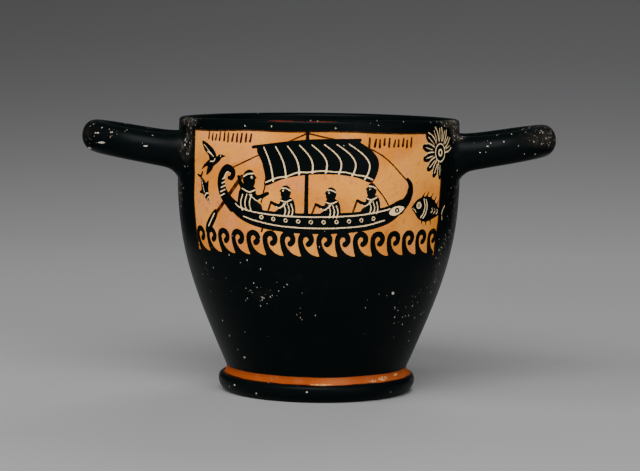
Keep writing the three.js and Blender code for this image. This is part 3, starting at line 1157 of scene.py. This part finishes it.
CLAY_WARM = from_screen(234, 153, 62)
CLAY_OCHRE = from_screen(216, 131, 44)
CLAY_PINK = from_screen(232, 146, 92)
FOOT_CLAY = from_screen(142, 60, 16)
FOOT_OCHRE = from_screen(156, 72, 26)
FOOT_PINK = from_screen(168, 92, 52)
LIP_CLAY = from_screen(112, 38, 22)
GLOSS_BLACK = from_screen(5, 10, 10)
GLOSS_THIN_AND_SHEEN = from_screen(44, 40, 36)
GLOSS_GREY = from_screen(104, 98, 88)
CUT_LINE = from_screen(240, 208, 156)
DARK_WASH = from_screen(38, 9, 4)
FLECK = from_screen(196, 190, 176)
RED_FLECK = from_screen(140, 112, 88)
DEPOSIT_AND_GLINT = from_screen(224, 178, 118)
print("the clay returns %.0f percent of red light" % (100 * CLAY_WARM[0]))

# %% [markdown]
# A material is a tree of nodes. Written out one by one, each node takes several lines and
# hides what the tree does. A small drawing board with a word for each usual node lets the
# later cells read like a recipe.

# %% Drawing board for nodes


class Board:
    """Short ways to add nodes and link them in one tree."""

    def __init__(self, tree):
        self.tree = tree

    def node(self, kind, **settings):
        made = self.tree.nodes.new(kind)
        for key, value in settings.items():
            setattr(made, key, value)
        return made

    def set(self, socket, value):
        if isinstance(value, bpy.types.NodeSocket):
            self.tree.links.new(value, socket)
        elif value is not None:
            socket.default_value = value

    def math(self, operation, a, b=None, c=None):
        made = self.node("ShaderNodeMath", operation=operation)
        for socket, value in zip(made.inputs, (a, b, c)):
            self.set(socket, value)
        return made.outputs[0]

    def times(self, a, b):
        return self.math("MULTIPLY", a, b)

    def larger(self, a, b):
        return self.math("MAXIMUM", a, b)

    def below(self, a, limit):
        return self.math("LESS_THAN", a, limit)

    def without(self, mask):
        return self.math("SUBTRACT", 1, mask)

    def ramp(self, value, low, high, to_low=0.0, to_high=1.0):
        """A number that rises smoothly while the value goes from low to high."""
        made = self.node("ShaderNodeMapRange", interpolation_type="SMOOTHSTEP")
        for socket, number in zip(made.inputs, (value, low, high, to_low, to_high)):
            self.set(socket, number)
        return made.outputs[0]

    def mix(self, share, a, b):
        made = self.node("ShaderNodeMix", data_type="RGBA")
        self.set(made.inputs["Factor"], share)
        self.set(made.inputs[6], a)
        self.set(made.inputs[7], b)
        return made.outputs[2]

    def lay(self, colour, new, mask, strength):
        """A new colour over the old one, at part strength."""
        return self.mix(self.times(mask, strength), colour, new)

    def noise(self, spot, scale, detail=3.0, roughness=0.55):
        made = self.node("ShaderNodeTexNoise")
        values = {"Vector": spot, "Scale": scale, "Detail": detail, "Roughness": roughness}
        for name, value in values.items():
            self.set(made.inputs[name], value)
        return made.outputs["Fac"]

    def stored(self, name):
        """One of the values that are kept on the points of the mesh."""
        made = self.node("ShaderNodeAttribute", attribute_type="GEOMETRY", attribute_name=name)
        return made.outputs["Fac"]


print("drawing board:", ", ".join(word for word in vars(Board) if not word.startswith("_")))

# %% [markdown]
# A group is a tree of its own with named inputs. It is built once and used several times
# with other values, as a potter keeps one stamp and presses it in different clays.

# %% Node groups


def group(name, inputs, outputs):
    """An empty node group, its board and its two ends."""
    tree = bpy.data.node_groups.new(name, "ShaderNodeTree")
    for label, kind, value in inputs:
        socket = tree.interface.new_socket(label, in_out="INPUT", socket_type=kind)
        if value is not None:
            socket.default_value = value
    for label, kind in outputs:
        tree.interface.new_socket(label, in_out="OUTPUT", socket_type=kind)
    board = Board(tree)
    return tree, board, board.node("NodeGroupInput").outputs, board.node("NodeGroupOutput").inputs


def use(board, tree, **values):
    made = board.node("ShaderNodeGroup", node_tree=tree)
    for label, value in values.items():
        board.set(made.inputs[label.capitalize()], value)
    return made.outputs


print("helpers for groups:", group.__name__, "and", use.__name__)

# %% [markdown]
# Fired clay is never one flat tone, because flame and iron vary over a hand's breadth. One
# noise gives the broad warm and ochre areas, a second the pink bloom, and finer ones the
# grain and a few stains. The foot is of a darker tone, washed with ochre, so the group takes
# its tones as inputs and serves both.

# %% Mottled clay
COLOUR, NUMBER, VECTOR = "NodeSocketColor", "NodeSocketFloat", "NodeSocketVector"
GRAIN_SHADE = from_screen(120, 70, 36)
STAIN = from_screen(150, 88, 44)


def clay_group():
    """Fired clay: broad warm and ochre areas, a pink bloom and fine grain."""
    tree, board, given, out = group(
        "Mottled clay",
        [("Place", VECTOR, None), ("Warm", COLOUR, CLAY_WARM), ("Ochre", COLOUR, CLAY_OCHRE),
         ("Pink", COLOUR, CLAY_PINK)],
        [("Colour", COLOUR)],
    )
    broad = board.ramp(board.noise(given["Place"], 30, 3), 0.4, 0.62)
    colour = board.mix(broad, given["Warm"], given["Ochre"])
    bloom = board.ramp(board.noise(given["Place"], 52, 4), 0.5, 0.66, 0, 0.5)
    colour = board.mix(bloom, colour, given["Pink"])
    grain = board.ramp(board.noise(given["Place"], 900, 2), 0.3, 0.7, 0, 0.16)
    colour = board.mix(grain, colour, GRAIN_SHADE)
    stain = board.ramp(board.noise(given["Place"], 210, 4, 0.65), 0.57, 0.7, 0, 0.4)
    board.set(out["Colour"], board.mix(stain, colour, STAIN))
    return tree


MOTTLED_CLAY = clay_group()
print("group:", MOTTLED_CLAY.name, "with", len(MOTTLED_CLAY.nodes), "nodes")

# %% [markdown]
# Gloss comes away in small flecks. A plain noise would give soft clouds, so the space is
# cut into cells, and each cell that a throw of dice picks carries one spot with a rough
# edge. The share of picked cells is an input, and the stored wear drives it.

# %% Flecks


def fleck_group():
    """Scattered small spots: more of them where the amount is higher."""
    tree, board, given, out = group(
        "Flecks",
        [("Place", VECTOR, None), ("Scale", NUMBER, 300.0), ("Amount", NUMBER, 0.5),
         ("Size", NUMBER, 0.2)],
        [("Mask", NUMBER)],
    )
    cells = board.node("ShaderNodeTexVoronoi", feature="F1")
    board.set(cells.inputs["Vector"], given["Place"])
    board.set(cells.inputs["Scale"], given["Scale"])
    chance = board.node("ShaderNodeSeparateColor")
    board.set(chance.inputs[0], cells.outputs["Color"])
    chosen = board.math("GREATER_THAN", given["Amount"], chance.outputs[0])
    edge = board.math("MULTIPLY_ADD", board.noise(given["Place"], 1400, 2), 0.24, -0.12)
    away = board.math("ADD", cells.outputs["Distance"], edge)
    radius = board.times(given["Size"], board.math("ADD", chance.outputs[1], 0.5))
    board.set(out["Mask"], board.times(board.below(away, radius), chosen))
    return tree


FLECKS = fleck_group()
print("group:", FLECKS.name, "with", len(FLECKS.nodes), "nodes")

# %% [markdown]
# A few larger chips, one lime crust and one painted glint stand at known places, so they
# are set one by one.
# Each is a small egg-shaped region around a point of the skin, in millimetres. A decal or
# a painted mask could do the same, but a short list is easier to move and to count.

# %% Chips, crusts and a painted glint
CHIPS = [
    # middle, then half lengths
    ((40.7, -56.9, 61), (0.75, 6, 0.75)),
    ((-121.7, -24, 144), (0.9, 9, 0.35)),
    ((-119.4, -24, 138.8), (2.0, 9, 0.5)),
    ((-94.6, -26, 137.4), (1.5, 9, 0.5)),
    ((-127.5, -16, 135.0), (1.3, 9, 0.7)),
    ((-45, -31, 6.2), (0.45, 9, 0.45)),
    ((-32.6, -44, 3.6), (0.4, 9, 0.5)),
    ((-5, -55, 6.4), (0.5, 6, 0.45)),
    ((-39.5, -38, 22.5), (0.5, 9, 0.5)),
    ((92, -24, 139.5), (1.1, 9, 0.5)),
    ((88, -25, 136), (0.6, 9, 0.5)),
]
CRUSTS_AND_GLINT = [
    ((37, -36, 11.4), (2.6, 6, 1.2)),
    ((31, -41, 10.6), (2, 6, 0.7)),
    # A painted glint: a thin pale line along the lower edge of the neck band.
    ((3, -51.5, 10.1), (6, 3, 0.35)),
    ((44, -27, 12.2), (1.4, 6, 0.6)),
]


def spots_at(board, spot, ragged, regions):
    """One mask for several egg-shaped regions with uneven edges."""
    mask = None
    limit = board.math("MULTIPLY_ADD", ragged, 0.9, 0.55)
    for middle, half in regions:
        away = spot
        for operation, values in (("SUBTRACT", middle), ("DIVIDE", half)):
            step = board.node("ShaderNodeVectorMath", operation=operation)
            board.set(step.inputs[0], away)
            step.inputs[1].default_value = [v * MILLIMETRE for v in values]
            away = step.outputs[0]
        length = board.node("ShaderNodeVectorMath", operation="LENGTH")
        board.set(length.inputs[0], away)
        inside = board.below(length.outputs["Value"], limit)
        mask = inside if mask is None else board.larger(mask, inside)
    return mask


print("chips:", len(CHIPS), "crusts:", len(CRUSTS_AND_GLINT))

# %% [markdown]
# Clay shows where the painter left it, in the panels, and where the cup was never dipped:
# on the neck and under the foot, but for one black ring and a dot. The stored distance gives
# the panels. The other places are simple heights and radii, which a mask in the material
# can follow without any point of the mesh lying on them.

# %% Where clay shows
GLOSS_EDGE = 0.05
FOOT_EDGE = 0.1
SOFT_EDGE = 0.3
RING_EDGE = 0.4
DRIFT = 1.2
INNER_LIMIT = 45
RING_RADIUS = 27
RING_HALF = 1.8
DOT_RADIUS = 6
DARK_BELOW = 30
RED_ABOVE = 150.8


def length_ramp(board, value, low, high):
    """A ramp along a length of the scene, between two values in millimetres."""
    return board.ramp(value, low * MILLIMETRE, high * MILLIMETRE)


def bare_places(board, spot, radius, z):
    """The neck and the underside, which stay in bare clay."""
    slow = board.noise(spot, 60, 2)
    drift = board.math("MULTIPLY_ADD", slow, DRIFT * MILLIMETRE, -DRIFT / 2 * MILLIMETRE)
    level = board.math("ADD", z, drift)
    neck = board.times(
        length_ramp(board, level, FOOT_HEIGHT - FOOT_EDGE, FOOT_HEIGHT + FOOT_EDGE),
        length_ramp(board, level, NECK_TOP + 2 * SOFT_EDGE, NECK_TOP + SOFT_EDGE),
    )
    neck = board.times(neck, board.math("GREATER_THAN", radius, INNER_LIMIT * MILLIMETRE))
    under = board.times(
        length_ramp(board, radius, STAND_RADIUS + RING_EDGE, STAND_RADIUS),
        length_ramp(board, z, RECESS_HEIGHT + 2 * SOFT_EDGE, RECESS_HEIGHT + SOFT_EDGE),
    )
    off_ring = board.math("ABSOLUTE", board.math("SUBTRACT", radius, RING_RADIUS * MILLIMETRE))
    ring = board.below(off_ring, RING_HALF * MILLIMETRE)
    dot = board.below(radius, DOT_RADIUS * MILLIMETRE)
    return board.larger(neck, board.times(under, board.without(board.larger(ring, dot))))


def bare_clay(board, spot, z):
    """Pale clay in the panels, darker clay on the foot and dark red along the lip."""
    pale = use(board, MOTTLED_CLAY, place=spot)
    dark = use(board, MOTTLED_CLAY, place=spot, warm=FOOT_CLAY, ochre=FOOT_OCHRE, pink=FOOT_PINK)
    low = board.below(z, DARK_BELOW * MILLIMETRE)
    ground = board.mix(low, pale["Colour"], dark["Colour"])
    return board.mix(board.math("GREATER_THAN", z, RED_ABOVE * MILLIMETRE), ground, LIP_CLAY)


print("black ring under the foot:", 2 * RING_RADIUS, "mm across")

# %% [markdown]
# Whole gloss is deep black. Where it lies thin it turns brown, and where it is rubbed it
# turns grey and breaks up into flecks. The same soft brown on the body's right and left
# edges is a painted sheen. The noise is stretched upwards into streaks, since hands and
# other pots slide along a wall.

# %% Worn gloss and painted sheen
STREAK_SCALE = (0.8, 0.8, 0.45)
FLECK_CELLS = 1400.0
FLECK_SIZE = 0.28


def worn_gloss(board, spot):
    """The gloss's colour with its wear and painted sheen, and masks of its rubbed parts and flecks."""
    stretched = board.node("ShaderNodeMapping")
    board.set(stretched.inputs["Vector"], spot)
    stretched.inputs["Scale"].default_value = STREAK_SCALE
    streaks = stretched.outputs[0]
    worn = board.stored("worn")
    thin = board.ramp(board.noise(spot, 90, 4, 0.6), 0.58, 0.8, 0, 0.16)
    gloss = board.mix(thin, GLOSS_BLACK, GLOSS_THIN_AND_SHEEN)
    wear_and_sheen_cloud = board.ramp(board.noise(streaks, 75, 4), 0.35, 0.65, 0.2, 1)
    # A soft brown cloud over the stored value: gloss worn thin, and a painted sheen on the body's edges.
    gloss = board.lay(gloss, GLOSS_THIN_AND_SHEEN, board.ramp(worn, 0.25, 0.7), wear_and_sheen_cloud)
    rubbed = board.ramp(board.noise(streaks, 620, 4, 0.65), 0.48, 0.66)
    rubbed = board.times(rubbed, board.ramp(worn, 0.25, 1))
    gloss = board.lay(gloss, GLOSS_GREY, rubbed, 0.5)
    chance = board.ramp(worn, 0.0, 0.9, 0.002, 0.34)
    flecks = use(board, FLECKS, place=streaks, scale=FLECK_CELLS, amount=chance, size=FLECK_SIZE)["Mask"]
    fleck_colour = board.mix(board.ramp(board.noise(spot, 190, 1), 0.55, 0.68), FLECK, RED_FLECK)
    return board.lay(gloss, fleck_colour, flecks, 0.7), rubbed, flecks


print("fleck cells: %.1f mm wide" % (1 / (FLECK_CELLS * STREAK_SCALE[0] * MILLIMETRE)))

# %% [markdown]
# The relief of the skin is a fraction of a millimetre. The gloss stands just above the clay,
# cut lines, pits and chips lie below it, crusts and the painted glint above, and the wheel
# left faint rings. As mesh it would take millions of points, so all of it goes into the
# height of one bump node.

# %% Relief of the skin
BUMP_HEIGHT = 0.2
BUMP_STRENGTH = 0.5
WHEEL_RINGS = 260


def relief(board, spot, z, black, cut, hollows, crust_and_glint):
    height = board.times(black, 0.35)
    height = board.math("SUBTRACT", height, board.times(cut, 0.5))
    height = board.math("SUBTRACT", height, hollows)
    height = board.math("ADD", height, crust_and_glint)
    height = board.math("MULTIPLY_ADD", board.noise(spot, 700, 3), 0.25, height)
    turning = board.node("ShaderNodeTexNoise", noise_dimensions="1D")
    board.set(turning.inputs["W"], z)
    turning.inputs["Scale"].default_value = WHEEL_RINGS
    turning.inputs["Detail"].default_value = 2
    height = board.math("MULTIPLY_ADD", turning.outputs["Fac"], 0.5, height)
    bump = board.node("ShaderNodeBump")
    bump.inputs["Strength"].default_value = BUMP_STRENGTH
    bump.inputs["Distance"].default_value = BUMP_HEIGHT * MILLIMETRE
    board.set(bump.inputs["Height"], height)
    return bump.outputs["Normal"]


print("one step of height:", BUMP_HEIGHT, "mm")

# %% [markdown]
# The gloss isn't a glass glaze. It is a very fine clay slip that turned dense and smooth in
# the fire, so it shines softly and shows what is under it where it wears. One material
# lays clay, gloss, a painted sheen, thin wash, cut lines, pits, chips, crusts and a painted
# glint over each other by the stored paints. Two materials on two sets of faces would put
# the painting's edges on the mesh's edges, which are too coarse for a brush line.

# %% The glossed clay
WAVER = 0.3
WASH_EDGE = 0.06
CUT_EDGE = 0.05
PITS = {"scale": 230.0, "amount": 0.035, "size": 0.09}
SMOOTH_GLOSS = 0.34
DULL_CLAY = 0.8
GLOSS_SHEEN = 0.045


def glossed_clay():
    material = bpy.data.materials.new("glossed clay")
    material.use_nodes = True
    tree = material.node_tree
    tree.nodes.clear()
    board = Board(tree)
    spot = board.node("ShaderNodeTexCoord").outputs["Object"]
    parts = board.node("ShaderNodeSeparateXYZ")
    board.set(parts.inputs[0], spot)
    x, y, z = parts.outputs
    radius = board.math("SQRT", board.math("MULTIPLY_ADD", x, x, board.times(y, y)))
    ragged = board.noise(spot, 700, 2)
    waver = board.math("MULTIPLY_ADD", ragged, WAVER, -WAVER / 2)
    painted = board.ramp(board.math("ADD", board.stored("gloss"), waver), -GLOSS_EDGE, GLOSS_EDGE)
    black = board.times(painted, board.without(bare_places(board, spot, radius, z)))
    gloss, rubbed, flecks = worn_gloss(board, spot)
    colour = board.mix(black, bare_clay(board, spot, z), gloss)

    wash = board.ramp(board.math("ADD", board.stored("wash"), waver), -WASH_EDGE, WASH_EDGE)
    wash = board.times(wash, board.ramp(board.noise(spot, 260, 3), 0.3, 0.6, 0.88, 1))
    colour = board.lay(colour, DARK_WASH, wash, board.without(black))
    cut = board.math("MULTIPLY_ADD", waver, 0.6, board.stored("cream"))
    in_gloss = board.ramp(board.stored("gloss"), -0.2, 0.1)
    cut = board.times(board.ramp(cut, -CUT_EDGE, CUT_EDGE), in_gloss)
    colour = board.mix(cut, colour, CUT_LINE)
    pits = board.times(use(board, FLECKS, place=spot, **PITS)["Mask"], black)
    colour = board.lay(colour, FLECK, pits, 0.55)
    chips = spots_at(board, spot, ragged, CHIPS)
    colour = board.lay(colour, FLECK, chips, 0.8)
    # Lime crust, and a painted glint along the lower edge of the neck band.
    crust_and_glint = board.ramp(board.noise(spot, 900, 3, 0.7), 0.42, 0.56)
    crust_and_glint = board.times(crust_and_glint, spots_at(board, spot, ragged, CRUSTS_AND_GLINT))
    colour = board.lay(colour, DEPOSIT_AND_GLINT, crust_and_glint, 0.8)

    bare = board.without(board.times(black, board.without(cut)))
    dull = board.larger(board.larger(bare, board.times(rubbed, 0.6)), flecks)
    surface = board.node("ShaderNodeBsdfPrincipled")
    board.set(surface.inputs["Base Color"], colour)
    board.set(surface.inputs["Roughness"], board.ramp(dull, 0, 1, SMOOTH_GLOSS, DULL_CLAY))
    normal = relief(board, spot, z, black, cut, board.larger(pits, chips), crust_and_glint)
    board.set(surface.inputs["Normal"], normal)
    surface.inputs["Specular IOR Level"].default_value = GLOSS_SHEEN
    board.set(board.node("ShaderNodeOutputMaterial").inputs["Surface"], surface.outputs["BSDF"])
    return material


joined.materials.clear()
joined.materials.append(glossed_clay())
print("material:", joined.materials[0].name)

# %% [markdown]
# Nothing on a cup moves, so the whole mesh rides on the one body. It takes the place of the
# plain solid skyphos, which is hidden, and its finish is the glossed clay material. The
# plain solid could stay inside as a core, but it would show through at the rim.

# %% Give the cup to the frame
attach(cup, "root")
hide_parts("skyphos")
print("the cup stands in place of the solid skyphos")

# %% [markdown]
# The cup stands on a pale grey paper that sweeps up behind it and darkens there, as the
# light falls off. One curved sheet has no edge that could show in the picture. Its shade is
# a ramp from near to far in its own colour, which is steadier than a light for the backdrop.

# %% Paper sweep
SWEEP_FRONT = -2.4
SWEEP_START = 0.9
SWEEP_RADIUS = 0.8
SWEEP_TOP = 3.0
SWEEP_HALF = 3.0
SWEEP_STEPS = 24
SHADE_FROM = 0.8
SHADE_TO = 1.55
PAPER_NEAR = (0.275, 0.275, 0.28, 1)
PAPER_FAR = (0.075, 0.075, 0.077, 1)
PAPER_ROUGHNESS = 0.9
PAPER_SHEEN = 0.1


def plain_material(name):
    """A new material with its tree and the inputs of its one surface node."""
    material = bpy.data.materials.new(name)
    material.use_nodes = True
    return material, material.node_tree, material.node_tree.nodes["Principled BSDF"].inputs


def sweep():
    turn = np.linspace(0, math.pi / 2, SWEEP_STEPS)
    curve = zip(SWEEP_START + SWEEP_RADIUS * np.sin(turn), SWEEP_RADIUS * (1 - np.cos(turn)))
    line = [(SWEEP_FRONT, 0.0), *curve, (SWEEP_START + SWEEP_RADIUS, SWEEP_TOP)]
    points = [(x, y, z) for y, z in line for x in (-SWEEP_HALF, SWEEP_HALF)]
    faces = [(2 * i, 2 * i + 1, 2 * i + 3, 2 * i + 2) for i in range(len(line) - 1)]
    ground = mesh_object("sweep", points, faces)
    ground.data.shade_smooth()
    paper, tree, surface = plain_material("paper")
    board = Board(tree)
    parts = board.node("ShaderNodeSeparateXYZ")
    board.set(parts.inputs[0], board.node("ShaderNodeTexCoord").outputs["Object"])
    shade = board.mix(board.ramp(parts.outputs["Y"], SHADE_FROM, SHADE_TO), PAPER_NEAR, PAPER_FAR)
    board.set(surface["Base Color"], shade)
    surface["Roughness"].default_value = PAPER_ROUGHNESS
    surface["Specular IOR Level"].default_value = PAPER_SHEEN
    ground.data.materials.append(paper)
    return ground


sweep()
print("paper:", 2 * SWEEP_HALF, "m wide")

# %% [markdown]
# Black gloss shows whatever is bright around it, so the world is nearly dark and the lights
# are few: a wide key from above and in front, a weak fill from the right, a low side light
# for the long soft shadow and one behind that clears the rim. Black boards on both sides
# keep the gloss dark at its edges. Nothing but the gloss sees them.

# %% Lights and black boards
TARGET = (0, 0, 0.1)
LIGHTS = [
    # name, place, width and height, watts, seen in the gloss
    ("key", (-0.25, -1.25, 1.35), (1.6, 1.0), 46, True),
    ("fill", (1.1, -1.4, 0.6), (0.8, 0.8), 14, True),
    ("low side", (-1.6, -0.5, 0.8), (0.8, 0.8), 14, False),
    ("behind", (0.5, 1.5, 1.5), (1.0, 0.8), 22, False),
]
BOARD_ASIDE = 0.31
BOARD_FRONT = -0.6
BOARD_BACK = 0.5
BOARD_TOP = 0.6
VELVET = (0.01, 0.01, 0.01, 1)
DARK_WORLD = (0.04, 0.04, 0.042, 1)


def area_light(name, position, size, energy, in_gloss):
    data = bpy.data.lights.new(name, "AREA")
    data.shape = "RECTANGLE"
    data.size, data.size_y = size
    data.energy = energy
    lamp = bpy.data.objects.new(name, data)
    lamp.location = position
    lamp.rotation_euler = (Vector(TARGET) - Vector(position)).to_track_quat("-Z", "Y").to_euler()
    lamp.visible_glossy = in_gloss
    bpy.context.scene.collection.objects.link(lamp)


def flag(side):
    """A black board beside the cup, seen only in its gloss."""
    x = side * BOARD_ASIDE
    low = [(x, BOARD_FRONT, 0), (x, BOARD_BACK, 0)]
    points = [*low, (x, BOARD_BACK, BOARD_TOP), (x, BOARD_FRONT, BOARD_TOP)]
    flat_board = mesh_object("flag", points, [(0, 1, 2, 3)])
    flat_board.visible_camera = False
    flat_board.visible_diffuse = False
    flat_board.visible_shadow = False
    velvet, _, surface = plain_material("velvet")
    surface["Base Color"].default_value = VELVET
    flat_board.data.materials.append(velvet)


for light in LIGHTS:
    area_light(*light)
for side in (-1, 1):
    flag(side)
world = bpy.data.worlds.new("studio")
world.use_nodes = True
world.node_tree.nodes["Background"].inputs["Color"].default_value = DARK_WORLD
bpy.context.scene.world = world
print("lights:", sum(light[3] for light in LIGHTS), "watts in all")

# %% [markdown]
# The camera stands a good metre back with a long lens, just above the rim, so the cup shows
# with little perspective. It is rolled a little, because the real cup leans. A nearer camera
# would open the mouth into a wide ellipse.

# %% Camera
CAMERA_PLACE = (0.00112, -1.1541, 0.1848)
CAMERA_PITCH = 4.854
CAMERA_ROLL = 0.683
LENS = 115.6
SENSOR_WIDTH = 36
camera_data = bpy.data.cameras.new("camera")
camera_data.lens = LENS
camera_data.sensor_width = SENSOR_WIDTH
camera = bpy.data.objects.new("camera", camera_data)
camera.rotation_mode = "QUATERNION"
tilt = Matrix.Rotation(math.radians(90 - CAMERA_PITCH), 4, "X")
roll = Matrix.Rotation(math.radians(CAMERA_ROLL), 4, "Z")
camera.matrix_world = Matrix.Translation(CAMERA_PLACE) @ tilt @ roll
bpy.context.scene.collection.objects.link(camera)
bpy.context.scene.camera = camera
print("camera %.2f m away" % camera.matrix_world.translation.length)

# %% [markdown]
# The finer skin should lie within a few hundredths of a millimetre of the box of the plain
# part.
